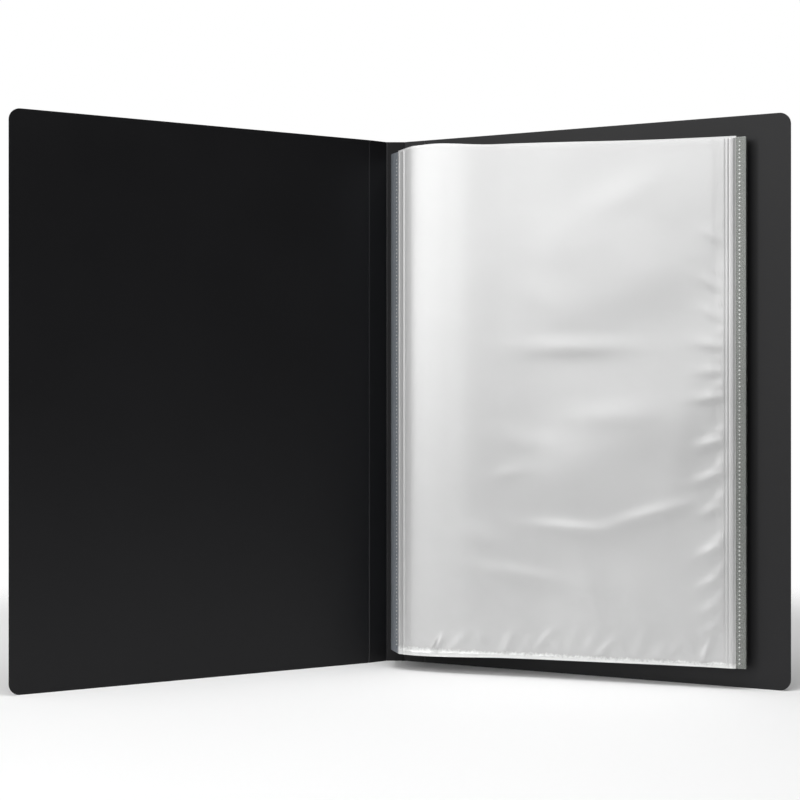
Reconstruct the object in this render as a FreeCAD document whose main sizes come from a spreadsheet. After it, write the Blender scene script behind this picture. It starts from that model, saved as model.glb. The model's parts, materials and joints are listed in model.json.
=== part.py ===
import FreeCAD, Part
import math
import os
import sys
import Sketcher

# A4 display album: one black polypropylene sheet folded into front cover, spine and back cover, and ten
# clear pocket leaves (twenty views) welded to a binding strip inside the spine.
#
# Frame: +X to the right along the open covers, +Y away from the reader, +Z up; the album stands open on
# its bottom edges. All folds are vertical, so every piece is a plate that is placed by a point in plan
# and a heading. In plan, "forward" is towards the reader (-Y) and is measured from the middle of the
# spine's thickness.

DIMENSIONS = [
    # cover sheet, with its folds in the middle of the thickness
    ("coverTall", 325.0),
    ("spineWide", 11.5),
    ("hingeWide", 14.0),
    ("panelWide", 230.0),
    ("sheetThick", 0.8),
    ("foldGap", 0.55),
    ("cornerRound", 6.5),
    ("webRound", 0.33),
    ("webThick", 0.3),
    # how far each part of the cover stands forward of the spine's plane, in degrees
    ("frontHingeAngle", 37.8),
    ("frontPanelAngle", 31.3),
    ("backAngle", 27.6),
    # binding strip and leaves
    ("bindWide", 8.0),
    ("bindThick", 0.8),
    ("leafTall", 303.0),
    ("leafLift", 11.0),
    ("leafCount", 10.0),
    ("leafPitch", 0.55),
    ("filmThick", 0.1),
    ("slitThick", 0.15),
    ("seamWide", 5.0),
    ("seamTall", 3.0),
    # the leaves lean about one axis, and each turns about its own axis further out
    ("leanForward", 34.0),
    ("leanGap", 3.0),
    ("leanAngle", 20.5),
    ("turnStart", 14.0),
    ("turnStep", 1.0),
    ("turnGap", 0.3),
    ("pocketGap", 4.0),
    ("leafReach", 211.4),
]

doc = FreeCAD.newDocument("display_album")
sheet = doc.addObject("Spreadsheet::Sheet", "Sizes")
for row, (name, value) in enumerate(DIMENSIONS, start=1):
    sheet.set(f"A{row}", name)
    sheet.set(f"B{row}", str(value))
    sheet.setAlias(f"B{row}", name)
doc.recompute()

pieces = []


def size(name):
    """A driving dimension's value."""
    return float(sheet.get(name))


def bind(obj, **formulas):
    """Bind properties to formulas in the sheet's aliases, written with a leading dollar: $leafTall."""
    for prop, formula in formulas.items():
        obj.setExpression(prop, formula.replace("$", "Sizes."))


def along(point, heading, distance):
    """The plan point at a distance from another, on a heading in degrees (0 is +X, -90 is forward)."""
    turn = math.radians(heading)
    return (point[0] + distance * math.cos(turn), point[1] + distance * math.sin(turn))


# ---- plan of the album: fold axes and headings, then the shift that centres it on the origin

SPINE_HEADING = 0.0
FRONT_HINGE_HEADING = -180.0 + size("frontHingeAngle")
FRONT_PANEL_HEADING = -180.0 + size("frontPanelAngle")
BACK_HEADING = -size("backAngle")
LEAN_HEADING = -size("leanAngle")
FORWARD_HEADING = -90.0

half_spine = size("spineWide") / 2
half_sheet = size("sheetThick") / 2
front_tip = along(
    along((-half_spine, 0.0), FRONT_HINGE_HEADING, size("hingeWide")), FRONT_PANEL_HEADING, size("panelWide")
)
back_tip = along((half_spine, 0.0), BACK_HEADING, size("hingeWide") + size("panelWide"))
low_x = front_tip[0] - half_sheet * math.sin(math.radians(size("frontPanelAngle")))
high_x = back_tip[0] + half_sheet * math.sin(math.radians(size("backAngle")))
low_y = front_tip[1] - half_sheet * math.cos(math.radians(size("frontPanelAngle")))
high_y = half_sheet
spine_middle = (-(low_x + high_x) / 2, -(low_y + high_y) / 2)

front_spine_fold = along(spine_middle, SPINE_HEADING, -half_spine)
back_spine_fold = along(spine_middle, SPINE_HEADING, half_spine)
front_score_fold = along(front_spine_fold, FRONT_HINGE_HEADING, size("hingeWide"))
back_score_fold = along(back_spine_fold, BACK_HEADING, size("hingeWide"))
lean_axis = along(spine_middle, FORWARD_HEADING, size("leanForward"))


# ---- building blocks


def keep(obj, label, point, heading, lift=0.0):
    """Name a finished piece and stand it on its plan point with its length along the heading."""
    obj.Label = label
    obj.Placement = FreeCAD.Placement(
        FreeCAD.Vector(point[0], point[1], lift), FreeCAD.Rotation(FreeCAD.Vector(0, 0, 1), heading)
    )
    pieces.append(obj)
    return obj


def box(name, length, thick, tall):
    """A box on the origin, with its sizes bound to the sheet."""
    block = doc.addObject("Part::Box", name)
    bind(block, Length=length, Width=thick, Height=tall)
    return block


def strip(label, point, heading, start, length, thick, tall="$coverTall", lift=0.0, aside=0.0):
    """A flat strip that starts at a distance along its heading, centred across its thickness."""
    block = box(label, length, thick, tall)
    doc.recompute()
    corner = along(along(point, heading, start), heading + 90.0, aside - block.Width.Value / 2)
    return keep(block, label, corner, heading, lift)


def outline(body, name, depth, corners):
    """Draw a closed outline on the body's XZ plane, moved back by a formula. Its corners are pairs of
    formulas, and the lines start as a rough ring that the constraints pull to size."""
    sketch = body.newObject("Sketcher::SketchObject", name)
    plane = next(f for f in body.Origin.OriginFeatures if f.Role == "XZ_Plane")
    sketch.AttachmentSupport = [(plane, "")]
    sketch.MapMode = "FlatFace"
    bind(sketch, **{".AttachmentOffset.Base.z": f"-({depth})"})
    count = len(corners)
    ring = [
        FreeCAD.Vector(20 + 10 * math.cos(math.tau * i / count), 20 + 10 * math.sin(math.tau * i / count), 0)
        for i in range(count)
    ]
    for i in range(count):
        sketch.addGeometry(Part.LineSegment(ring[i], ring[(i + 1) % count]), False)
    for i in range(count):
        sketch.addConstraint(Sketcher.Constraint("Coincident", i, 2, (i + 1) % count, 1))
    for i, corner in enumerate(corners):
        for kind, axis, formula, start in (
            ("DistanceX", -2, corner[0], ring[i].x),
            ("DistanceY", -1, corner[1], ring[i].y),
        ):
            if formula == "0":
                sketch.addConstraint(Sketcher.Constraint("PointOnObject", i, 1, axis))
            else:
                number = sketch.addConstraint(Sketcher.Constraint(kind, -1, 1, i, 1, start))
                bind(sketch, **{f"Constraints[{number}]": formula})
    return sketch


def pad(body, sketch, name, thick):
    """Pad a sketch towards the reader's side by a formula."""
    feature = body.newObject("PartDesign::Pad", name)
    feature.Profile = sketch
    bind(feature, Length=thick)
    sketch.Visibility = False
    return feature


def rectangle(start, end, low, high):
    return [(start, low), (end, low), (end, high), (start, high)]


# ---- the cover sheet


def cover_panel(label, point, heading):
    """A cover from its score fold outwards, centred on its plan line, with two rounded outer corners."""
    body = doc.addObject("PartDesign::Body", label)
    blank = outline(
        body, label + "_outline", "$sheetThick / 2", rectangle("$foldGap", "$panelWide", "0", "$coverTall")
    )
    plate = pad(body, blank, label + "_plate", "$sheetThick")
    doc.recompute()
    outer = [
        f"Edge{number}"
        for number, edge in enumerate(plate.Shape.Edges, start=1)
        if abs(edge.BoundBox.XMin - size("panelWide")) < 1e-6 and edge.BoundBox.YLength > half_sheet
        and edge.BoundBox.ZLength < 1e-6
    ]
    corners = body.newObject("PartDesign::Fillet", label + "_corners")
    corners.Base = (plate, outer)
    bind(corners, Radius="$cornerRound")
    body.Tip = corners
    return keep(body, label, point, heading)


def fold_web(label, point, heading):
    """The thin web left in a fold: a round bead on the fold axis and a tab back to its panel."""
    bead = doc.addObject("Part::Cylinder", label + "_bead")
    bind(bead, Radius="$webRound", Height="$coverTall")
    tab = box(label + "_tab", "$foldGap", "$webThick", "$coverTall")
    bind(tab, **{".Placement.Base.y": "-$webThick / 2"})
    web = doc.addObject("Part::Fuse", label)
    web.Base, web.Tool = bead, tab
    return keep(web, label, point, heading)


def make_cover():
    inside_fold = "$hingeWide - 2 * $foldGap"
    fold_gap = size("foldGap")
    strip("spine_panel", front_spine_fold, SPINE_HEADING, fold_gap, "$spineWide - 2 * $foldGap", "$sheetThick")
    strip("front_hinge_panel", front_spine_fold, FRONT_HINGE_HEADING, fold_gap, inside_fold, "$sheetThick")
    strip("back_hinge_panel", back_spine_fold, BACK_HEADING, fold_gap, inside_fold, "$sheetThick")
    cover_panel("front_cover_panel", front_score_fold, FRONT_PANEL_HEADING)
    cover_panel("back_cover_panel", back_score_fold, BACK_HEADING)
    fold_web("front_spine_web", front_spine_fold, SPINE_HEADING)
    fold_web("back_spine_web", back_spine_fold, SPINE_HEADING + 180.0)
    fold_web("front_score_web", front_score_fold, FRONT_HINGE_HEADING + 180.0)
    fold_web("back_score_web", back_score_fold, BACK_HEADING + 180.0)


# ---- the leaves


def make_binding_strip():
    foot = along(spine_middle, FORWARD_HEADING, half_sheet + size("bindThick") / 2)
    strip(
        "binding_strip", foot, SPINE_HEADING, -size("bindWide") / 2,
        "$bindWide", "$bindThick", "$leafTall", size("leafLift"),
    )


def make_leaf(number):
    """One pocket leaf, number 1 nearest the front cover: a welded margin that stands on the binding strip,
    a creased strip past the lean axis, and the pocket's front and back films past the leaf's own axis."""
    label = f"leaf_{number:02d}"
    step = number - 1
    aside = size("leafPitch") * (step - (size("leafCount") - 1) / 2)
    lift = size("leafLift")
    weld = "2 * $filmThick"

    strip(
        label + "_margin", spine_middle, FORWARD_HEADING, half_sheet + size("bindThick"),
        "$leanForward - $leanGap - $sheetThick / 2 - $bindThick", weld, "$leafTall", lift, aside,
    )
    strip(
        label + "_crease", lean_axis, LEAN_HEADING, size("leanGap"),
        f"$turnStart + {step} * $turnStep - $turnGap - $leanGap", weld, "$leafTall", lift, aside,
    )

    near_edge = size("turnStart") + step * size("turnStep") + size("pocketGap")
    wide = f"($leafReach - $turnStart - {step} * $turnStep - $pocketGap)"
    root = along(along(lean_axis, LEAN_HEADING, near_edge), LEAN_HEADING + 90.0, aside)
    face = size("slitThick") / 2 + size("filmThick")

    front = box(label + "_front_film", wide, "$filmThick", "$leafTall")
    keep(front, label + "_front_film", along(root, LEAN_HEADING + 90.0, -face), LEAN_HEADING, lift)

    back = doc.addObject("PartDesign::Body", label + "_back_film")
    film = outline(
        back, label + "_film_outline", "$slitThick / 2 + $filmThick", rectangle("0", wide, "0", "$leafTall")
    )
    pad(back, film, label + "_film", "$filmThick")
    seams = [
        ("0", "0"), (wide, "0"), (wide, "$leafTall"), (f"{wide} - $seamWide", "$leafTall"),
        (f"{wide} - $seamWide", "$seamTall"), ("0", "$seamTall"),
    ]
    weld_line = outline(back, label + "_seam_outline", "$slitThick / 2", seams)
    back.Tip = pad(back, weld_line, label + "_seams", "$slitThick")
    keep(back, label + "_back_film", root, LEAN_HEADING, lift)


# ---- build, test and write


def problems():
    found = [f"{o.Name}: {o.State}" for o in doc.Objects if "Invalid" in o.State or "Error" in o.State]
    for piece in pieces:
        if piece.Shape.isNull() or not piece.Shape.isValid() or len(piece.Shape.Solids) != 1:
            found.append(f"{piece.Label}: not one valid solid")
    return found


make_cover()
make_binding_strip()
for leaf in range(1, int(size("leafCount")) + 1):
    make_leaf(leaf)
doc.recompute()

faults = problems()
if faults:
    sys.exit("\n".join(faults))

os.makedirs("parts", exist_ok=True)
for piece in pieces:
    piece.Shape.exportStep(f"parts/{piece.Label}.step")
print(len(pieces), "pieces")
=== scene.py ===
"""Display album: a black folded cover around ten clear pocket leaves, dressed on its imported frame.

Laid out as an add-on and run as a script. Lengths are metres; MM turns millimetres into them.
In plan, "right" is +X and "forward" is -Y, towards the reader.
"""

import json
import math

import bpy
import numpy as np
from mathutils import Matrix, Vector


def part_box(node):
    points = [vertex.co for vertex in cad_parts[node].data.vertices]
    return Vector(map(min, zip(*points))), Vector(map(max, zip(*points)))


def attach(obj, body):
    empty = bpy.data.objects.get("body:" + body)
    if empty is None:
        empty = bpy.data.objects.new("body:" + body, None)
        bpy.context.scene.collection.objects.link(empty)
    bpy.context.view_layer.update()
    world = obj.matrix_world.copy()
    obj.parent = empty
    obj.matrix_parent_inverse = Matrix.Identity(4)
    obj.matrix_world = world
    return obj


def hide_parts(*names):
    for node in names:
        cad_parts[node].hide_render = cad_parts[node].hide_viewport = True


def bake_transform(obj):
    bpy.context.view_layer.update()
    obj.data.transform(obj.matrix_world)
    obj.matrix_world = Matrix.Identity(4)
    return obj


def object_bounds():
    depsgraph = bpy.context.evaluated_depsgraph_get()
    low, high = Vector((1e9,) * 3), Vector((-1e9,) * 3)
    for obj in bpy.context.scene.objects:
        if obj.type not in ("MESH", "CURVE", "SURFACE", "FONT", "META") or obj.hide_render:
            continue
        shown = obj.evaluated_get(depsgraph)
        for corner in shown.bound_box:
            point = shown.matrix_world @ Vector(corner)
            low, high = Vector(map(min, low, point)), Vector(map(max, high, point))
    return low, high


bl_info = {
    "name": "Display Album",
    "version": (1, 0, 0),
    "blender": (4, 5, 0),
    "location": "3D View > Sidebar > Album",
    "description": "Dresses a display album's frame: cover sheet, fold webs, pocket leaves and welds",
    "category": "Add Mesh",
}

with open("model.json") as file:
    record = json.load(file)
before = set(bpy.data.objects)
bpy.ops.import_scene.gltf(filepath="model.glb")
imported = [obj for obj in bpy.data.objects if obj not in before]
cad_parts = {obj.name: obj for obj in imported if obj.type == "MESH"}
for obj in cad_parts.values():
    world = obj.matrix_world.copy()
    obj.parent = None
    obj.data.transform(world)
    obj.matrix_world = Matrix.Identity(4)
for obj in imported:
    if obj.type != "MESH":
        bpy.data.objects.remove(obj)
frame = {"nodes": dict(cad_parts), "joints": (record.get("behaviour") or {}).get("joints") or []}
CAD_LOW, CAD_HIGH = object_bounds()

MM = 0.001
LEAF_COUNT = len([name for name in frame["nodes"] if name.endswith("_front_film")])


# ---- what the frame says


def joint_point(name):
    """A joint's place in plan."""
    joint = next(j for j in frame["joints"] if j["name"] == name)
    return np.array(joint["pos_m"][:2])


def middle(node):
    low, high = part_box(node)
    return (Vector(low) + Vector(high)) / 2


SPINE = np.array(middle("spine_panel")[:2])
LEAF_LOW, LEAF_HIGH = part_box("leaf_01_back_film")
LEAN_ANGLE = math.atan2(LEAF_HIGH[1] - LEAF_LOW[1], LEAF_HIGH[0] - LEAF_LOW[0])
ALONG_LEAF = np.array([math.cos(LEAN_ANGLE), -math.sin(LEAN_ANGLE)])
LEAF_FOOT, LEAF_TOP = LEAF_LOW[2], LEAF_HIGH[2]
LEAF_TALL = LEAF_TOP - LEAF_FOOT


def srgb(code):
    """A hex sRGB colour as linear RGB."""
    parts = [int(code[i : i + 2], 16) / 255 for i in (1, 3, 5)]
    return tuple(c / 12.92 if c <= 0.04045 else ((c + 0.055) / 1.055) ** 2.4 for c in parts)


# ---- sizes and colours that a user would change


class AlbumSizes(bpy.types.PropertyGroup):
    film_thick: bpy.props.FloatProperty(
        name="Film thickness", description="Thickness of one clear film", default=0.1 * MM, unit="LENGTH"
    )
    seam_wide: bpy.props.FloatProperty(
        name="Seam width", description="Welded band at a leaf's outer edge", default=5.6 * MM, unit="LENGTH"
    )
    weld_pitch: bpy.props.FloatProperty(
        name="Weld pitch", description="Distance between two point welds", default=2.25 * MM, unit="LENGTH"
    )
    weld_wide: bpy.props.FloatProperty(
        name="Weld width", description="Width of one point weld", default=0.95 * MM, unit="LENGTH"
    )
    pillow: bpy.props.FloatProperty(
        name="Pillow", description="How far air lifts the top pocket's front film", default=1.05 * MM,
        unit="LENGTH",
    )
    pucker: bpy.props.FloatProperty(
        name="Creasing", description="Strength of the top pocket's creases and puckers", default=1.0
    )
    web_wide: bpy.props.FloatProperty(
        name="Fold width", description="Width of a pressed fold in the cover sheet", default=1.1 * MM,
        unit="LENGTH",
    )
    web_thin: bpy.props.FloatProperty(
        name="Fold thickness", description="Thickness left in a pressed fold", default=0.34 * MM,
        unit="LENGTH",
    )


class AlbumColours(bpy.types.PropertyGroup):
    cover: bpy.props.FloatVectorProperty(
        name="Cover", description="Black polypropylene sheet", subtype="COLOR", default=srgb("#111113")
    )
    # The fold colour is lighter than the cover's, as a painted highlight along the folds.
    fold: bpy.props.FloatVectorProperty(
        name="Fold", description="Stress-lightened plastic in a fold", subtype="COLOR",
        default=srgb("#1B1B1D"),
    )
    film: bpy.props.FloatVectorProperty(
        name="Film", description="Milky side of the clear film", subtype="COLOR", default=srgb("#E2E2E2")
    )
    seam: bpy.props.FloatVectorProperty(
        name="Seam", description="Welded film", subtype="COLOR", default=srgb("#979A96")
    )
    margin: bpy.props.FloatVectorProperty(
        name="Margin", description="Fused film where the leaves are bound", subtype="COLOR",
        default=srgb("#A2A8AF"),
    )
    foot: bpy.props.FloatVectorProperty(
        name="Foot", description="Puckered film at the bottom weld", subtype="COLOR", default=srgb("#EEEFEE")
    )
    weld: bpy.props.FloatVectorProperty(
        name="Point weld", description="Raised rim of a point weld", subtype="COLOR", default=srgb("#DADCDA")
    )
    floor: bpy.props.FloatVectorProperty(
        name="Floor", description="Pale studio floor", subtype="COLOR", default=srgb("#F7F7F7")
    )


# ---- materials

POLYPROPYLENE_IOR = 1.49


def add_node(tree, kind, inputs=None, **properties):
    """Add a node, set its properties, and set or link its inputs."""
    made = tree.nodes.new(kind)
    for name, value in properties.items():
        setattr(made, name, value)
    for key, value in (inputs or {}).items():
        if isinstance(value, bpy.types.NodeSocket):
            tree.links.new(value, made.inputs[key])
        else:
            made.inputs[key].default_value = value
    return made


def new_material(name):
    """A material with no nodes yet, and its node tree."""
    made = bpy.data.materials.new(name)
    made.use_nodes = True
    made.node_tree.nodes.clear()
    return made, made.node_tree


def shades(tree, mask, dark, light):
    """A colour that goes from dark to light as the mask goes from 0 to 1."""
    return add_node(
        tree, "ShaderNodeMix", {0: mask, 6: (*dark, 1), 7: (*light, 1)}, data_type="RGBA"
    ).outputs[2]


def darker(colour, share):
    return tuple(channel * share for channel in colour)


def cover_material(colours):
    """Black polypropylene sheet, calendered between a matte roll and a smooth one: the fine pebble grain
    spreads the light, so that the sheet looks charcoal where it faces a lamp and nearly black elsewhere."""
    pebble_wide = 1.11 * MM  # the real grain is about 0.3 mm, too fine to show, so it is drawn coarser
    cloud_wide = 71.4 * MM  # slow unevenness of the roll's pressure
    made, tree = new_material("polypropylene_sheet_matte_black")
    place = add_node(tree, "ShaderNodeTexCoord").outputs["Object"]
    grain = add_node(
        tree, "ShaderNodeTexNoise",
        {"Vector": place, "Scale": 1 / pebble_wide, "Detail": 3.0, "Roughness": 0.6},
    )
    cloud = add_node(tree, "ShaderNodeTexNoise", {"Vector": place, "Scale": 1 / cloud_wide, "Detail": 2.0})
    pebble = add_node(
        tree, "ShaderNodeBump", {"Height": grain.outputs["Fac"], "Strength": 0.32, "Distance": 0.12 * MM}
    )
    dull = add_node(
        tree, "ShaderNodeMapRange", {"Value": cloud.outputs["Fac"], "To Min": 0.44, "To Max": 0.52}
    )
    tone = shades(tree, cloud.outputs["Fac"], darker(colours.cover, 0.86), darker(colours.cover, 1.12))
    sheet = add_node(tree, "ShaderNodeBsdfPrincipled", {
        "Base Color": tone,
        "Roughness": dull.outputs["Result"], "IOR": POLYPROPYLENE_IOR, "Specular IOR Level": 0.30,
        "Normal": pebble.outputs["Normal"],
    })
    add_node(tree, "ShaderNodeOutputMaterial", {"Surface": sheet.outputs["BSDF"]})
    return made


def fold_material(colours):
    """Polypropylene pressed thin by a hot rule: smoother than the sheet, and given a lighter colour as a
    painted highlight along the fold, with a slow random mottle in that colour."""
    mottle_wide = 3.85 * MM
    made, tree = new_material("polypropylene_fold_painted_highlight")
    place = add_node(tree, "ShaderNodeTexCoord").outputs["Object"]
    mottle = add_node(tree, "ShaderNodeTexNoise", {"Vector": place, "Scale": 1 / mottle_wide, "Detail": 4.0})
    # The lighter fold colour is a painted highlight; the mottle only varies it at random.
    pressed = add_node(tree, "ShaderNodeBsdfPrincipled", {
        "Base Color": shades(
            tree, mottle.outputs["Fac"], darker(colours.fold, 0.7), darker(colours.fold, 1.4)
        ),
        "Roughness": 0.34, "IOR": POLYPROPYLENE_IOR,
    })
    add_node(tree, "ShaderNodeOutputMaterial", {"Surface": pressed.outputs["BSDF"]})
    return made


def film_material(name, colour, clear, rough, sheen, foot=None):
    """Cast polypropylene film, clear with a satin skin so that it doesn't cling. One film veils a little of
    what is behind it; a stack of them turns milky, and its many faces together send light back like a dull
    mirror, which the metallic share stands for. With a foot colour, the film is crinkled and whiter at the
    weld that closes its foot."""
    sway_wide = 62.5 * MM
    made, tree = new_material(name)
    place = add_node(tree, "ShaderNodeTexCoord").outputs["Object"]
    sway = add_node(tree, "ShaderNodeTexNoise", {"Vector": place, "Scale": 1 / sway_wide, "Detail": 2.0})
    normal = add_node(
        tree, "ShaderNodeBump", {"Height": sway.outputs["Fac"], "Strength": 0.5, "Distance": 0.5 * MM}
    ).outputs["Normal"]
    tone = shades(tree, sway.outputs["Fac"], darker(colour, 0.95), tuple(colour))
    solid = 1.0 - clear
    if foot is not None:
        tone, normal, solid = crinkled_foot(tree, place, foot, tone, normal, solid)
    film = add_node(tree, "ShaderNodeBsdfPrincipled", {
        "Base Color": tone, "Roughness": rough, "Metallic": sheen, "IOR": POLYPROPYLENE_IOR, "Alpha": solid,
        "Normal": normal,
    })
    add_node(tree, "ShaderNodeOutputMaterial", {"Surface": film.outputs["BSDF"]})
    return made


def crinkled_foot(tree, place, foot, tone, normal, solid):
    """Whiten, wrinkle and thicken a film's look at its foot weld, up to an uneven edge."""
    crinkle_wide, uneven_by = 2.2 * MM, 4.0 * MM
    fades_out, fades_in = LEAF_FOOT + 6.0 * MM, LEAF_FOOT + 4.2 * MM
    crinkle = add_node(
        tree, "ShaderNodeTexNoise", {"Vector": place, "Scale": 1 / crinkle_wide, "Detail": 2.0}
    )
    height = add_node(tree, "ShaderNodeSeparateXYZ", {"Vector": place}).outputs["Z"]
    edge = add_node(
        tree, "ShaderNodeMath", {0: crinkle.outputs["Fac"], 1: uneven_by, 2: height}, operation="MULTIPLY_ADD"
    )
    white = add_node(
        tree, "ShaderNodeMapRange", {"Value": edge.outputs[0], "From Min": fades_out, "From Max": fades_in}
    ).outputs["Result"]
    mixed = add_node(tree, "ShaderNodeMix", {0: white, 6: tone, 7: (*foot, 1)}, data_type="RGBA")
    wrinkled = add_node(tree, "ShaderNodeBump", {
        "Height": crinkle.outputs["Fac"], "Strength": white, "Distance": 0.4 * MM, "Normal": normal,
    })
    milky = add_node(tree, "ShaderNodeMapRange", {"Value": white, "To Min": solid, "To Max": 0.8})
    return mixed.outputs[2], wrinkled.outputs["Normal"], milky.outputs["Result"]


# ---- the leaves' shape in plan
#
# Each leaf leaves the binding strip straight forward, bows over, and settles on its line in the frame. The
# first leaf, outermost in the bend, bows the most, and the last one hugs the corner.

# Points of the bend from the spine's middle, as millimetres forward and to the right, for both leaves:
BOW_FIRST = [
    (27, 0), (33.0, 2.6), (36.8, 6.0), (40.6, 11), (43.9, 17), (46.7, 22.8), (49.7, 29.5), (54.6, 42),
    (58.9, 55), (62.0, 65),
]
BOW_LAST = [
    (26, -0.1), (30.6, -0.1), (33.0, 1.5), (35.0, 5.2), (37.0, 11.0), (39.6, 18.8), (42.6, 27.6),
    (47.8, 41.4), (52.6, 54.6), (56.4, 64.4),
]
BEND_WIDE = 30  # millimetres to the right of the spine's middle at which the tight bend is done
FLAT_STEPS = (86, 112, 140, 168)  # millimetres to the right at which the flat part is held to its line
BOUND_STRAIGHT = 14 * MM  # a leaf runs straight forward this far from the binding strip

# The welded margin that a leaf is bound by, its weld, and the lines that the welding bar presses beside the
# two welds, as distances from the binding and from the outer edge with their heights.
MARGIN_WIDE = 34.6 * MM
MARGIN_WELD = 33.3 * MM
PRESSED_INNER = [(30.5 * MM, 0.10 * MM), (35.5 * MM, 0.16 * MM), (39.0 * MM, 0.18 * MM)]
PRESSED_OUTER = [(11.2 * MM, -0.13 * MM), (9.3 * MM, -0.14 * MM), (6.3 * MM, -0.12 * MM)]
PRESSED_WIDE = 0.28 * MM
FOOT_WELD = 2.1 * MM  # height of the weld that closes a pocket's foot

# How a leaf is built up: half the gap that two films and the air between them fill, the thickness of fused
# film, how far a pocket's mouth and the fused strips stay below the back film's top, where a leaf's root piece
# ends before the leaf's own axis, and the width along the pocket past that split over which a turning pocket
# would bend.
HALF_LEAF = 0.175 * MM
FUSED_THICK = 0.25 * MM
MOUTH_DROP = 1.2 * MM
FUSED_DROP = 0.6 * MM
SPLIT_BEFORE = 3 * MM
TURN_WIDE = 16 * MM


def leaf_aside(number):
    """How far a leaf stands to the right of the spine's middle where it is bound."""
    return middle(f"leaf_{number:02d}_margin")[0] - SPINE[0]


def leaf_end(number):
    """The middle of a leaf's outer edge in plan, from its film plates in the frame."""
    front_low, front_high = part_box(f"leaf_{number:02d}_front_film")
    back_low, back_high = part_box(f"leaf_{number:02d}_back_film")
    return np.array([(front_high[0] + back_high[0]) / 2, (front_low[1] + back_low[1]) / 2])


def smooth_path(points, step=0.5 * MM, parts=40):
    """Distances and points along a Catmull-Rom curve through the given ones, about a step apart."""
    knots = np.vstack([2 * points[0] - points[1], points, 2 * points[-1] - points[-2]])
    fine = []
    for a, b, c, d in zip(knots, knots[1:], knots[2:], knots[3:]):
        for t in np.linspace(0, 1, parts, endpoint=False):
            fine.append(0.5 * (2 * b + (c - a) * t + (2 * a - 5 * b + 4 * c - d) * t**2
                               + (3 * b - a - 3 * c + d) * t**3))
    fine = np.array(fine + [points[-1]])
    run = np.concatenate([[0], np.cumsum(np.linalg.norm(np.diff(fine, axis=0), axis=1))])
    even = np.linspace(0, run[-1], int(run[-1] / step) + 1)
    return even, np.column_stack([np.interp(even, run, fine[:, i]) for i in (0, 1)])


class LeafPath:
    """One leaf's line in plan: its points by distance from the binding strip."""

    def __init__(self, number):
        share = (number - 1) / (LEAF_COUNT - 1)
        aside, end = leaf_aside(number), leaf_end(number)
        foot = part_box("binding_strip")[0][1]
        root = np.array([SPINE[0] + aside, foot])
        points = [root, root + [0, -BOUND_STRAIGHT]]
        for (forward, right), (last_forward, last_right) in zip(BOW_FIRST, BOW_LAST):
            ahead = forward + (last_forward - forward) * share
            side = right + (last_right - right) * share
            start = aside * (1 - min(1, side / BEND_WIDE)) / MM
            points.append(SPINE + np.array([start + side, -ahead]) * MM)
        for step in FLAT_STEPS:
            back = (end[0] - SPINE[0] - step * MM) / ALONG_LEAF[0]
            points.append(end - ALONG_LEAF * back)
        self.run, self.points = smooth_path(np.array(points + [end]))
        self.length = self.run[-1]

    def at(self, distance):
        """Plan points at distances along the leaf, and the unit normals that face the reader."""
        place = np.column_stack([np.interp(distance, self.run, self.points[:, i]) for i in (0, 1)])
        reach = 1.0 * MM
        ahead = np.column_stack([np.interp(distance + reach, self.run, self.points[:, i]) for i in (0, 1)])
        behind = np.column_stack([np.interp(distance - reach, self.run, self.points[:, i]) for i in (0, 1)])
        way = ahead - behind
        way /= np.linalg.norm(way, axis=1)[:, None]
        return place, np.column_stack([way[:, 1], -way[:, 0]])

    def distance_at_right(self, right):
        """The distance along the leaf at which it is this far to the right of the spine's middle."""
        past = np.nonzero(self.points[:, 0] - SPINE[0] >= right)[0]
        return self.run[past[0]]


# ---- film sheets


def rise(value, start, end):
    """0 before start, 1 after end, smooth between."""
    t = np.clip((value - start) / (end - start), 0, 1)
    return t * t * (3 - 2 * t)


def waves(across, up, seed, count, across_span, up_span):
    """Soft irregular relief between about -1 and 1: a few sine waves with seeded directions and phases."""
    draw = np.random.default_rng(seed)
    total = np.zeros(np.broadcast(across, up).shape)
    for _ in range(count):
        turns = across / draw.uniform(*across_span) * draw.choice([-1, 1]) + up / draw.uniform(*up_span)
        total += np.sin(math.tau * turns + draw.uniform(0, math.tau))
    return total / math.sqrt(count)


# Soft creases in the top pocket from handling: distance from the binding, height above the leaf's foot,
# length, width and height in millimetres, and slope in degrees.
HANDLING = [
    (147, 183, 62, 11, 0.50, 0), (166, 143, 46, 14, 0.30, 3), (107, 109, 20, 8, 0.22, 12),
    (118, 128, 40, 14, 0.22, -8), (144, 77, 46, 9, 0.75, -4), (187, 85, 52, 9, 0.65, 17),
    (114, 49, 52, 11, 0.60, -9), (106, 34, 40, 10, 0.60, -50), (92, 70, 28, 14, 0.40, -32),
    (155, 38, 58, 15, 0.50, -74), (184, 35, 48, 15, 0.42, -70), (176, 272, 46, 18, 0.45, 24),
    (122, 258, 60, 46, 0.55, 70), (192, 232, 60, 30, 0.35, -70), (206, 120, 70, 20, 0.35, 80),
    (126, 212, 44, 20, 0.30, -30),
]
# Puckers in millimetres: beside the outer weld, as heights above the foot, strong below one height and level
# at another, and above the bottom weld, as distances from the binding.
SIDE_PUCKERS = (22, 34, 49, 67, 90, 109, 128, 154, 169, 184, 202, 219, 247)
STRONG_BELOW, LEVEL_AT = 160, 165
FOOT_PUCKERS = (62, 75, 89, 105, 118, 127, 136, 144, 156, 163, 174, 185, 196, 204, 213, 222)


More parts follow.
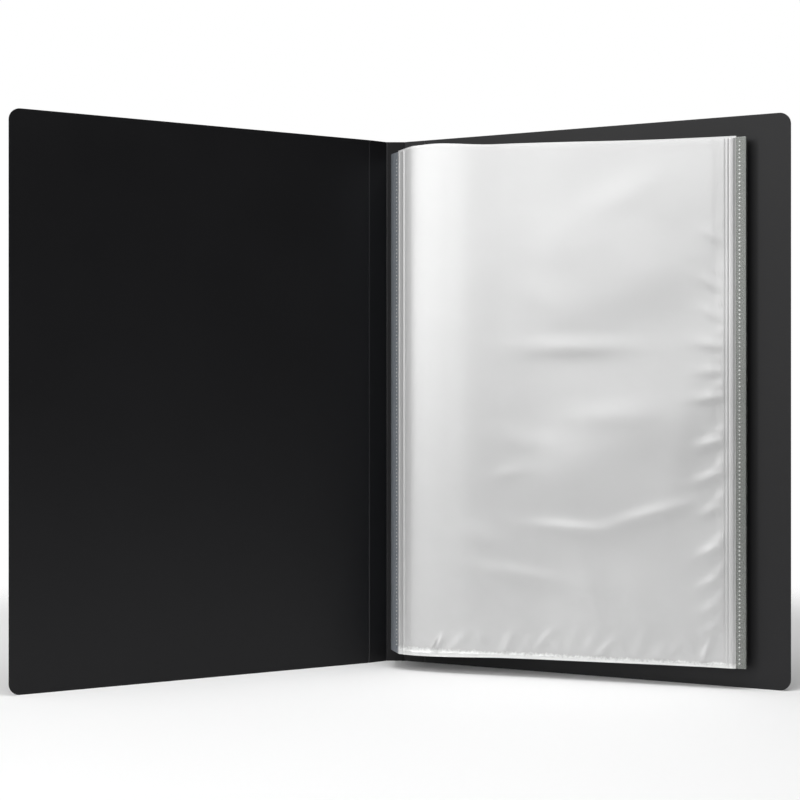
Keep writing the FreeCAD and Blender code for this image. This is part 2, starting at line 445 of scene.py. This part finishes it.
def puckers(path):
    """The short creases beside the two welds, as rows like those of HANDLING. The side ones fan, up to the
    seam low down and down to it high up, each with a smaller one above it."""
    edge = path.length / MM
    rows = []
    for number, high in enumerate(SIDE_PUCKERS):
        strong = 0.62 if high < STRONG_BELOW else 0.34
        slope = max(-34, 30 * (1 - (high / LEVEL_AT) ** 3))
        long, tall = 17 + 3 * (number % 2), strong * (1.0, 0.7, 0.9)[number % 3]
        rows.append((edge - 18.5, high, long, 6.3, tall, slope))
        rows.append((edge - 14.0, high + 7, 8, 4.5, 0.45 * strong, slope + 6))
    for number, far in enumerate(FOOT_PUCKERS):
        high, long = 6.5 + 2 * (number % 3), 12 + 7 * (number % 2)
        tall, slope = (0.85, 0.5, 0.7)[number % 3], (64, 48, -72, 70)[number % 4]
        rows.append((far, high, long, 4.0, tall, slope))
    return rows


def crease_relief(path, along, up):
    """The top pocket's creases and puckers, each a long soft swelling."""
    total = np.zeros(along.shape)
    for far, high, length, width, height, slope in HANDLING + puckers(path):
        turn = math.radians(slope)
        right, above = along / MM - far, up / MM - high
        on = (right * math.cos(turn) + above * math.sin(turn)) / (length / 2)
        off = (above * math.cos(turn) - right * math.sin(turn)) / (width / 2)
        total += height * np.exp(-on**2 - off**2)
    return total * MM


def pressed_relief(path, along):
    """The lines that the welding bar leaves beside the two welds."""
    from_edge = path.length - along
    inner = sum(high * np.exp(-((along - at) / PRESSED_WIDE) ** 2) for at, high in PRESSED_INNER)
    return inner + sum(high * np.exp(-((from_edge - at) / PRESSED_WIDE) ** 2) for at, high in PRESSED_OUTER)


# The air under the top pocket's film: how far in from the outer seam it has its full height, and between
# which heights and distances from the binding it grows. Then the same for the creases, and the fold that the
# film makes as it rolls up out of its seam, with its height.
AIR_FROM_SEAM = 14 * MM
AIR_FROM_FOOT = (3 * MM, 26 * MM)
AIR_FROM_BEND = (92 * MM, 140 * MM)
CREASE_FROM_SEAM = (1.5 * MM, 9 * MM)
CREASE_FROM_FOOT = (1.9 * MM, 3.6 * MM)
ROLL_RISES, ROLL_FALLS, ROLL_TALL = (0, 1.4 * MM), (4 * MM, 12 * MM), 0.55 * MM
STACKED_SHARE = 0.10  # how much of that relief the leaves under the first one keep


def front_relief(sizes, number, path, along, up):
    """How far a pocket's front film stands off its flat shape. The first leaf, with nothing pressing on it,
    holds some air and its creases; the others lie nearly flat in the stack."""
    seed = 100 * number
    from_seam = path.length - sizes.seam_wide - along
    swell = 0.75 + 0.40 * waves(along, up, seed, 5, (0.10, 0.22), (0.09, 0.20))
    drape = 0.10 * waves(along, up, seed + 1, 5, (0.08, 0.16), (0.035, 0.07))
    inside = rise(from_seam, 0, AIR_FROM_SEAM) * rise(up, *AIR_FROM_FOOT) * rise(along, *AIR_FROM_BEND)
    air = sizes.pillow * inside * np.maximum(swell + drape, 0.0)
    free = rise(from_seam, *CREASE_FROM_SEAM) * rise(up, *CREASE_FROM_FOOT)
    creases = sizes.pucker * free * crease_relief(path, along, up)
    rolled = ROLL_TALL * rise(from_seam, *ROLL_RISES) * (1 - rise(from_seam, *ROLL_FALLS))
    if number == 1:
        return air + creases + rolled + pressed_relief(path, along)
    return STACKED_SHARE * (air + creases + rolled)


def mouth_lift(path, along, up):
    """How much higher a film's point stands than on an upright leaf. The bowed part leans towards the reader,
    so it stands taller at its mouth and hangs lower at its foot, and the outer part stands a little shorter."""
    bow_tall, page_tall, outer_short = 2.4 * MM, 0.8 * MM, 1.7 * MM
    bow_low, outer_high = 1.5 * MM, 1.0 * MM
    middle_high = 0.4 * LEAF_TALL
    right = np.interp(along, path.run, path.points[:, 0] - SPINE[0])
    bow = rise(right, -3 * MM, 12 * MM) * (1 - rise(right, 20 * MM, 58 * MM))
    page = rise(right, 4 * MM, 30 * MM) * (1 - rise(right, 70 * MM, 150 * MM))
    outer = rise(right, 50 * MM, 190 * MM)
    hanging = rise(right, -3 * MM, 3 * MM) * (1 - rise(right, 10 * MM, 70 * MM))
    at_mouth = bow_tall * bow + page_tall * page - outer_short * outer
    at_foot = outer_high * outer - bow_low * hanging
    return at_mouth * rise(up, middle_high, LEAF_TALL) + at_foot * (1 - rise(up, 0, middle_high))


def film_shell(name, path, alongs, ups, offset, relief, thick):
    """One film as a closed shell: a grid along the leaf and up it, its back face, and the rim between."""
    along, up = np.meshgrid(alongs, ups, indexing="ij")
    place, normal = path.at(along.ravel())
    lift = (offset + relief(along, up)).ravel()
    height = LEAF_FOOT + (up + mouth_lift(path, along, up)).ravel()
    faces = []
    layers = []
    for depth in (0.0, thick):
        layers.append(np.column_stack([place + normal * (lift - depth)[:, None], height]))
    columns, rows = len(alongs), len(ups)
    total = columns * rows

    def vertex(i, j, layer):
        return layer * total + i * rows + j

    for i in range(columns - 1):
        for j in range(rows - 1):
            ring = [vertex(i, j, 0), vertex(i + 1, j, 0), vertex(i + 1, j + 1, 0), vertex(i, j + 1, 0)]
            faces.append(ring)
            faces.append([v + total for v in reversed(ring)])
    border = [(i, 0) for i in range(columns)] + [(columns - 1, j) for j in range(1, rows)]
    border += [(i, rows - 1) for i in range(columns - 2, -1, -1)] + [(0, j) for j in range(rows - 2, 0, -1)]
    for (i, j), (k, m) in zip(border, border[1:] + border[:1]):
        faces.append([vertex(k, m, 0), vertex(i, j, 0), vertex(i, j, 1), vertex(k, m, 1)])
    mesh = bpy.data.meshes.new(name)
    mesh.from_pydata(np.vstack(layers).tolist(), [], faces)
    mesh.shade_smooth()
    piece = bpy.data.objects.new(name, mesh)
    bpy.context.scene.collection.objects.link(piece)
    return piece


def join(pieces, name):
    """Join meshes into one object."""
    with bpy.context.temp_override(
        active_object=pieces[0], object=pieces[0], selected_objects=pieces, selected_editable_objects=pieces
    ):
        bpy.ops.object.join()
    pieces[0].name = pieces[0].data.name = name
    return pieces[0]


def spans(*stops):
    """Grid stations from (distance, step) stops: each step holds up to the next distance."""
    found = []
    for (start, step), (end, _) in zip(stops, stops[1:]):
        found += list(np.linspace(start, end, max(1, round((end - start) / step)), endpoint=False))
    return np.array(found + [stops[-1][0]])


def plan_point(path, distance):
    place, _ = path.at(np.array([distance]))
    return (*place[0], 0.0)


def split_distance(number, path):
    """Where a leaf's root piece ends and its pocket piece starts: just short of the leaf's own axis."""
    turn = joint_point(f"leaf_{number:02d}_turn") - ALONG_LEAF * SPLIT_BEFORE
    return path.distance_at_right(turn[0] - SPINE[0])


def film_stations(path, start, end, fine):
    """Grid stations along a leaf: close together in the bend and beside the outer seam, and on the top leaf
    also across each pressed line."""
    wide, narrow, bend_step = (2.6, 0.9, 0.9) if fine else (6.0, 2.5, 1.5)
    bend_end = path.distance_at_right(BEND_WIDE * MM)
    puckers_start = max(path.length - 24 * MM, start + 1 * MM)
    stops = [(0.0, bend_step), (bend_end, wide), (puckers_start, narrow), (path.length, narrow)]
    every = spans(*[(at, step * MM) for at, step in stops])
    if fine:
        lines = [at for at, _ in PRESSED_INNER[1:]] + [path.length - at for at, _ in PRESSED_OUTER]
        near = [at + side * PRESSED_WIDE for at in lines for side in (-1.6, -0.8, 0.0, 0.8, 1.6)]
        clear = [x for x in every if min(abs(x - at) for at in lines) > 2 * PRESSED_WIDE]
        every = np.array(sorted(clear + near))
    closest = 0.2 * MM
    inside = every[(every > start + closest) & (every < end - closest)]
    return np.concatenate([[start], inside, [end]])


def film_heights(top, fine):
    """Grid stations up a leaf, in metres from millimetres: close together at the foot weld."""
    foot, foot_end, puckers_end = [0.0, 1.1, 1.7, 2.1, 2.5], 3.2, 22.0
    low_step, high_step = (1.1, 1.9) if fine else (4.0, 12.0)
    stops = [(foot_end, low_step), (puckers_end, high_step), (top / MM, high_step)]
    return np.concatenate([foot, spans(*stops)]) * MM


def bottom_bead(up):
    """The raised line of the weld that closes a pocket's foot."""
    tall, wide = 0.16 * MM, 0.45 * MM
    return tall * np.exp(-((up - FOOT_WELD) / wide) ** 2)


def flat(along, up):
    return np.zeros(along.shape)


def leaf_films(sizes, number, path, start, end, part):
    """One leaf between two distances along it: two films, fused where the pocket is welded shut."""
    fine = number == 1
    thick = sizes.film_thick
    first, last = MARGIN_WIDE, path.length - sizes.seam_wide
    low, high = max(start, first), min(end, last)

    def front(along, up):
        return front_relief(sizes, number, path, along, up) + bottom_bead(up)

    def margin(along, up):
        return pressed_relief(path, along)

    def dressed(film, finish):
        film.data.materials.append(bpy.data.materials["polypropylene_film_" + finish])
        return film

    front_grid = film_stations(path, low, high, fine), film_heights(LEAF_TALL - MOUTH_DROP, fine)
    back_grid = film_stations(path, low, high, False), film_heights(LEAF_TALL, False)
    films = [
        dressed(film_shell("front", path, *front_grid, HALF_LEAF, front, thick), "front"),
        dressed(film_shell("back", path, *back_grid, thick - HALF_LEAF, flat, thick), "back"),
    ]
    for fused_start, fused_end, relief, finish in (
        (start, first, margin, "margin"),
        (last, end, flat, "welded"),
    ):
        if fused_end > fused_start:
            count = 8 + int((fused_end - fused_start) / (0.5 * MM))
            grid = np.linspace(fused_start, fused_end, count), film_heights(LEAF_TALL - FUSED_DROP, False)
            films.append(dressed(
                film_shell("fused", path, *grid, FUSED_THICK / 2, relief, FUSED_THICK), finish
            ))
    piece = join(films, f"leaf_{number:02d}_{part}")
    piece.data.set_sharp_from_angle(angle=math.radians(60))
    return piece


# ---- point welds

WELD_TALL = 0.16 * MM
WELD_ENDS = (4 * MM, 5 * MM)  # how far a row stays from a leaf's foot and top
OUTER_WELD_SHARE = 0.62  # how far in from the outer edge its row stands, as a share of the seam
FOOT_WELD_SHARE = 0.55  # a foot weld's width as a share of a side weld's


def weld_tree():
    """Geometry nodes: small round welds at a pitch along a line, each a flat button on the film's face."""
    tree = bpy.data.node_groups.new("point_welds", "GeometryNodeTree")
    sockets = tree.interface
    sockets.new_socket("Line", in_out="INPUT", socket_type="NodeSocketGeometry")
    for name in ("Pitch", "Width", "Height", "Heading"):
        sockets.new_socket(name, in_out="INPUT", socket_type="NodeSocketFloat")
    sockets.new_socket("Material", in_out="INPUT", socket_type="NodeSocketMaterial")
    sockets.new_socket("Welds", in_out="OUTPUT", socket_type="NodeSocketGeometry")
    given = add_node(tree, "NodeGroupInput").outputs
    line = add_node(tree, "GeometryNodeMeshToCurve", {"Mesh": given["Line"]})
    spaced = add_node(tree, "GeometryNodeResampleCurve", {"Curve": line.outputs[0], "Length": given["Pitch"]},
                      mode="LENGTH")
    button = add_node(tree, "GeometryNodeMeshCylinder", {"Vertices": 8, "Radius": 0.5, "Depth": 1.0})
    shape = add_node(
        tree, "ShaderNodeCombineXYZ", {"X": given["Width"], "Y": given["Width"], "Z": given["Height"]}
    )
    turn = add_node(tree, "ShaderNodeCombineXYZ", {"X": math.pi / 2, "Z": given["Heading"]})
    uneven = add_node(tree, "FunctionNodeRandomValue", {2: 0.75, 3: 1.15, "Seed": 7}, data_type="FLOAT")
    sized = add_node(
        tree, "GeometryNodeTransform", {"Geometry": button.outputs["Mesh"], "Scale": shape.outputs[0]}
    )
    faced = add_node(
        tree, "GeometryNodeTransform", {"Geometry": sized.outputs[0], "Rotation": turn.outputs[0]}
    )
    spread = add_node(tree, "GeometryNodeInstanceOnPoints", {
        "Points": spaced.outputs[0], "Instance": faced.outputs[0], "Scale": uneven.outputs[1],
    })
    real = add_node(tree, "GeometryNodeRealizeInstances", {0: spread.outputs[0]})
    dressed = add_node(
        tree, "GeometryNodeSetMaterial", {"Geometry": real.outputs[0], "Material": given["Material"]}
    )
    add_node(tree, "NodeGroupOutput", {"Welds": dressed.outputs[0]})
    return tree


def weld_row(tree, sizes, name, points, normal, share=1.0):
    """A row of point welds through points in space, as a plain mesh; share scales their width."""
    mesh = bpy.data.meshes.new(name)
    mesh.from_pydata(points, [(i, i + 1) for i in range(len(points) - 1)], [])
    row = bpy.data.objects.new(name, mesh)
    bpy.context.scene.collection.objects.link(row)
    modifier = row.modifiers.new("welds", "NODES")
    modifier.node_group = tree
    values = {
        "Pitch": sizes.weld_pitch, "Width": share * sizes.weld_wide, "Height": WELD_TALL,
        "Heading": math.atan2(normal[1], normal[0]) + math.pi / 2,
        "Material": bpy.data.materials["polypropylene_film_point_weld"],
    }
    for socket in tree.interface.items_tree:
        if socket.in_out == "INPUT" and socket.name in values:
            modifier[socket.identifier] = values[socket.name]
    solid = bpy.data.meshes.new_from_object(row.evaluated_get(bpy.context.evaluated_depsgraph_get()))
    row.modifiers.clear()
    row.data = solid
    return row


def side_welds(tree, sizes, name, path, distance, offset):
    """A vertical row of point welds on a leaf, standing off its middle by an offset."""
    place, normal = path.at(np.array([distance]))
    foot = place[0] + normal[0] * offset
    low, high = LEAF_FOOT + WELD_ENDS[0], LEAF_TOP - WELD_ENDS[1]
    return weld_row(tree, sizes, name, [(*foot, low), (*foot, high)], normal[0])


def foot_welds(tree, sizes, name, path, start, end):
    """The row of point welds along a pocket's foot, between two distances."""
    step, offset = 6 * MM, 0.28 * MM
    along = np.linspace(start, end, 2 + int((end - start) / step))
    place, normal = path.at(along)
    height = LEAF_FOOT + FOOT_WELD + mouth_lift(path, along, np.full(along.shape, FOOT_WELD))
    points = np.column_stack([place + normal * offset, height]).tolist()
    return weld_row(tree, sizes, name, points, normal[len(normal) // 2], FOOT_WELD_SHARE)


# ---- operators

PLAIN_SHEET = (
    "spine_panel", "front_hinge_panel", "back_hinge_panel", "front_cover_panel", "back_cover_panel",
    "binding_strip",
)
SHEET_THICK = 0.8 * MM
# Each fold's joint, the panels on its two sides, and the web that it replaces.
FOLDS = (
    ("front_spine_fold", "spine_panel", "front_hinge_panel", "front_spine_web"),
    ("back_spine_fold", "spine_panel", "back_hinge_panel", "back_spine_web"),
    ("front_score_fold", "front_hinge_panel", "front_cover_panel", "front_score_web"),
    ("back_score_fold", "back_hinge_panel", "back_cover_panel", "back_score_web"),
)


def sizes_of(context):
    return context.scene.album_sizes


def colours_of(context):
    return context.scene.album_colours


class ALBUM_OT_materials(bpy.types.Operator):
    """Make the plastics"""

    bl_idname = "album.materials"
    bl_label = "Materials"

    def execute(self, context):
        colours = colours_of(context)
        cover_material(colours)
        fold_material(colours)
        # Each film's colour, clearness, roughness and metallic share. Films that were fused are smoother, the
        # side that lies on the stack is milkier, and a point weld is almost solid.
        film_material("polypropylene_film_front", colours.film, 0.55, 0.36, 0.48, foot=colours.foot)
        for finish, colour, clear, rough, sheen in (
            ("back", colours.film, 0.30, 0.38, 0.42),
            ("welded", colours.seam, 0.55, 0.28, 0.30),
            ("margin", colours.margin, 0.35, 0.28, 0.45),
            ("point_weld", colours.weld, 0.10, 0.30, 0.30),
        ):
            film_material("polypropylene_film_" + finish, colour, clear, rough, sheen)
        return {"FINISHED"}


class ALBUM_OT_cover(bpy.types.Operator):
    """Give the cover's panels and the binding strip their plastic"""

    bl_idname = "album.cover"
    bl_label = "Cover sheet"

    def execute(self, context):
        sheet = bpy.data.materials["polypropylene_sheet_matte_black"]
        for name in PLAIN_SHEET:
            frame["nodes"][name].material_slots[0].material = sheet
        return {"FINISHED"}


class ALBUM_OT_folds(bpy.types.Operator):
    """Press the four folds of the cover sheet"""

    bl_idname = "album.folds"
    bl_label = "Folds"

    def execute(self, context):
        for fold, parent, child, web in FOLDS:
            press_fold(sizes_of(context), fold, parent, child, web)
        return {"FINISHED"}


def press_fold(sizes, fold, parent, child, web):
    """A strip across a fold, as thick as the sheet at its sides and pressed thin in the middle."""
    stations, hollow = 13, 2.2  # points across the strip, and how sharply its hollow deepens
    axis = joint_point(fold)
    sides = []
    for node in (parent, child):
        way = np.array(middle(node)[:2]) - axis
        sides.append(way / np.linalg.norm(way))
    half_wide = sizes.web_wide / 2
    front, back = [], []
    for t in np.linspace(-1, 1, stations):
        side = sides[0] if t < 0 else sides[1]
        tangent = sides[1] * (1 + t) / 2 - sides[0] * (1 - t) / 2
        tangent /= np.linalg.norm(tangent)
        normal = np.array([tangent[1], -tangent[0]])
        depth = (sizes.web_thin + (SHEET_THICK - sizes.web_thin) * abs(t) ** hollow) / 2
        centre = axis + side * half_wide * abs(t)
        front.append(centre + normal * depth)
        back.append(centre - normal * depth)
    ring = front + back[::-1]
    count = len(ring)
    low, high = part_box(parent)
    vertices = [(*point, z) for z in (low[2], high[2]) for point in ring]
    faces = [[i, (i + 1) % count, (i + 1) % count + count, i + count] for i in range(count)]
    for i in range(stations - 1):
        cap = [i, i + 1, count - 2 - i, count - 1 - i]
        faces += [cap[::-1], [vertex + count for vertex in cap]]
    mesh = bpy.data.meshes.new(fold + "_strip")
    mesh.from_pydata(vertices, [], faces)
    mesh.materials.append(bpy.data.materials["polypropylene_fold_painted_highlight"])
    mesh.shade_smooth()
    mesh.set_sharp_from_angle(angle=math.radians(50))
    strip = bpy.data.objects.new(fold + "_strip", mesh)
    bpy.context.scene.collection.objects.link(strip)
    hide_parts(web)
    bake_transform(strip)


class ALBUM_OT_leaves(bpy.types.Operator):
    """Make the ten pocket leaves, each a root that bends over and a pocket beyond it"""

    bl_idname = "album.leaves"
    bl_label = "Pocket leaves"

    def execute(self, context):
        sizes = sizes_of(context)
        tree = weld_tree()
        for number in range(1, LEAF_COUNT + 1):
            make_leaf(sizes, tree, number)
        return {"FINISHED"}


def make_leaf(sizes, tree, number):
    """A leaf's root and pocket, with the rows of welds at its margin, its outer edge and its foot."""
    label = f"leaf_{number:02d}"
    path = LeafPath(number)
    split = split_distance(number, path)
    turn = dict(start=plan_point(path, split), end=plan_point(path, split + TURN_WIDE))
    seam = sizes.seam_wide

    root = leaf_films(sizes, number, path, 0.0, split, "root")
    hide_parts(label + "_margin", label + "_crease")
    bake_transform(root)

    pocket = leaf_films(sizes, number, path, split, path.length, "pocket")
    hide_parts(label + "_front_film", label + "_back_film")
    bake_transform(pocket)

    outer = side_welds(
        tree, sizes, label + "_outer_welds", path, path.length - OUTER_WELD_SHARE * seam, 0.15 * MM
    )
    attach(outer, label)

    inner = side_welds(tree, sizes, label + "_inner_welds", path, MARGIN_WELD, 0.2 * MM)
    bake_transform(inner)

    foot = foot_welds(tree, sizes, label + "_foot_welds", path, split + 1 * MM, path.length - seam)
    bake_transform(foot)


class ALBUM_OT_stage(bpy.types.Operator):
    """Set the floor, the lights and the camera"""

    bl_idname = "album.stage"
    bl_label = "Stage"

    def execute(self, context):
        make_floor(colours_of(context))
        make_world()
        make_lights()
        make_camera()
        return {"FINISHED"}


def make_floor(colours):
    """A pale painted board under the album that fades into the white room, so that it shows no edge."""
    speck_wide = 3.33 * MM  # the roller's stipple
    radius, fade_starts, fade_ends = 0.65, 0.34, 0.62
    made, tree = new_material("painted_board_floor")
    place = add_node(tree, "ShaderNodeTexCoord").outputs["Object"]
    speck = add_node(tree, "ShaderNodeTexNoise", {"Vector": place, "Scale": 1 / speck_wide})
    far = add_node(tree, "ShaderNodeVectorMath", {0: place}, operation="LENGTH")
    fade = add_node(tree, "ShaderNodeMapRange", {
        "Value": far.outputs["Value"], "From Min": fade_starts, "From Max": fade_ends,
        "To Min": 1.0, "To Max": 0.0,
    }, interpolation_type="SMOOTHSTEP")
    board = add_node(tree, "ShaderNodeBsdfPrincipled", {
        "Base Color": shades(tree, speck.outputs["Fac"], darker(colours.floor, 0.985), tuple(colours.floor)),
        "Roughness": 0.8, "Specular IOR Level": 0.2, "Alpha": fade.outputs["Result"],
    })
    add_node(tree, "ShaderNodeOutputMaterial", {"Surface": board.outputs["BSDF"]})
    bpy.ops.mesh.primitive_circle_add(
        vertices=96, radius=radius, fill_type="NGON", location=(0, 0, CAD_LOW[2])
    )
    floor = bpy.context.object
    floor.name = "studio_floor"
    floor.data.materials.append(made)


def make_world():
    """White to the eye, and to the object a studio with a bright left side and a dim right side."""
    bright, dim = 0.22, 0.025
    world = bpy.data.worlds.new("studio")
    bpy.context.scene.world = world
    world.use_nodes = True
    tree = world.node_tree
    tree.nodes.clear()
    way = add_node(tree, "ShaderNodeTexCoord").outputs["Generated"]
    parts = add_node(tree, "ShaderNodeSeparateXYZ", {"Vector": way})
    side = add_node(
        tree, "ShaderNodeMapRange",
        {"Value": parts.outputs["X"], "From Min": -1.0, "From Max": 0.8, "To Min": bright, "To Max": dim},
        interpolation_type="SMOOTHSTEP",
    )
    seen = add_node(tree, "ShaderNodeLightPath").outputs["Is Camera Ray"]
    around = add_node(
        tree, "ShaderNodeBackground", {"Color": (1, 1, 1, 1), "Strength": side.outputs["Result"]}
    )
    white = add_node(tree, "ShaderNodeBackground", {"Color": (1, 1, 1, 1), "Strength": 1.0})
    mixed = add_node(tree, "ShaderNodeMixShader", {0: seen, 1: around.outputs[0], 2: white.outputs[0]})
    add_node(tree, "ShaderNodeOutputWorld", {"Surface": mixed.outputs[0]})


# A broad panel and a tall narrow one to the front left, which the pages mirror, and one overhead: place,
# width and height in metres, and watts.
LAMPS = (
    ("broad_panel", (-0.82, -1.40, 0.80), (1.2, 1.3), 11.2),
    ("tall_strip", (-1.10, -0.92, 0.60), (0.22, 1.3), 5.6),
    ("top_softbox", (0.0, -0.35, 1.5), (1.4, 1.0), 19.0),
)


def make_lights():
    """The lamps, each turned to the album's middle."""
    centre = Vector((0.0, 0.0, 0.5 * (CAD_LOW[2] + CAD_HIGH[2])))
    for name, place, size, power in LAMPS:
        light = bpy.data.lights.new(name, "AREA")
        light.shape = "RECTANGLE"
        light.size, light.size_y = size
        light.energy = power
        lamp = bpy.data.objects.new(name, light)
        lamp.location = place
        lamp.rotation_euler = (centre - Vector(place)).to_track_quat("-Z", "Y").to_euler()
        bpy.context.scene.collection.objects.link(lamp)


def make_camera():
    """Level, at half the album's height, a metre in front of the spine."""
    lens, away, aside, high = 77.2, 1075 * MM, 2.7 * MM, 163.4 * MM
    camera = bpy.data.cameras.new("camera")
    camera.sensor_width = 36.0
    camera.lens = lens
    seat = bpy.data.objects.new("camera", camera)
    spine_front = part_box("spine_panel")[0][1]
    seat.location = (SPINE[0] + aside, spine_front - away, CAD_LOW[2] + high)
    seat.rotation_euler = (math.pi / 2, 0, 0)
    bpy.context.scene.collection.objects.link(seat)
    bpy.context.scene.camera = seat


class ALBUM_PT_panel(bpy.types.Panel):
    """The album's builders"""

    bl_label = "Album"
    bl_idname = "ALBUM_PT_panel"
    bl_space_type = "VIEW_3D"
    bl_region_type = "UI"
    bl_category = "Album"

    def draw(self, context):
        for group in (sizes_of(context), colours_of(context)):
            for name in group.__annotations__:
                self.layout.prop(group, name)
        for step in STEPS:
            self.layout.operator(step.bl_idname)


STEPS = (ALBUM_OT_materials, ALBUM_OT_cover, ALBUM_OT_folds, ALBUM_OT_leaves, ALBUM_OT_stage)
CLASSES = (AlbumSizes, AlbumColours, *STEPS, ALBUM_PT_panel)


def register():
    for made in CLASSES:
        bpy.utils.register_class(made)
    bpy.types.Scene.album_sizes = bpy.props.PointerProperty(type=AlbumSizes)
    bpy.types.Scene.album_colours = bpy.props.PointerProperty(type=AlbumColours)


def unregister():
    del bpy.types.Scene.album_sizes
    del bpy.types.Scene.album_colours
    for made in reversed(CLASSES):
        bpy.utils.unregister_class(made)


def main():
    register()
    bpy.context.scene.view_settings.view_transform = "Standard"
    bpy.ops.album.materials()
    bpy.ops.album.cover()
    bpy.ops.album.folds()
    bpy.ops.album.leaves()
    bpy.ops.album.stage()


if __name__ == "__main__":
    main()
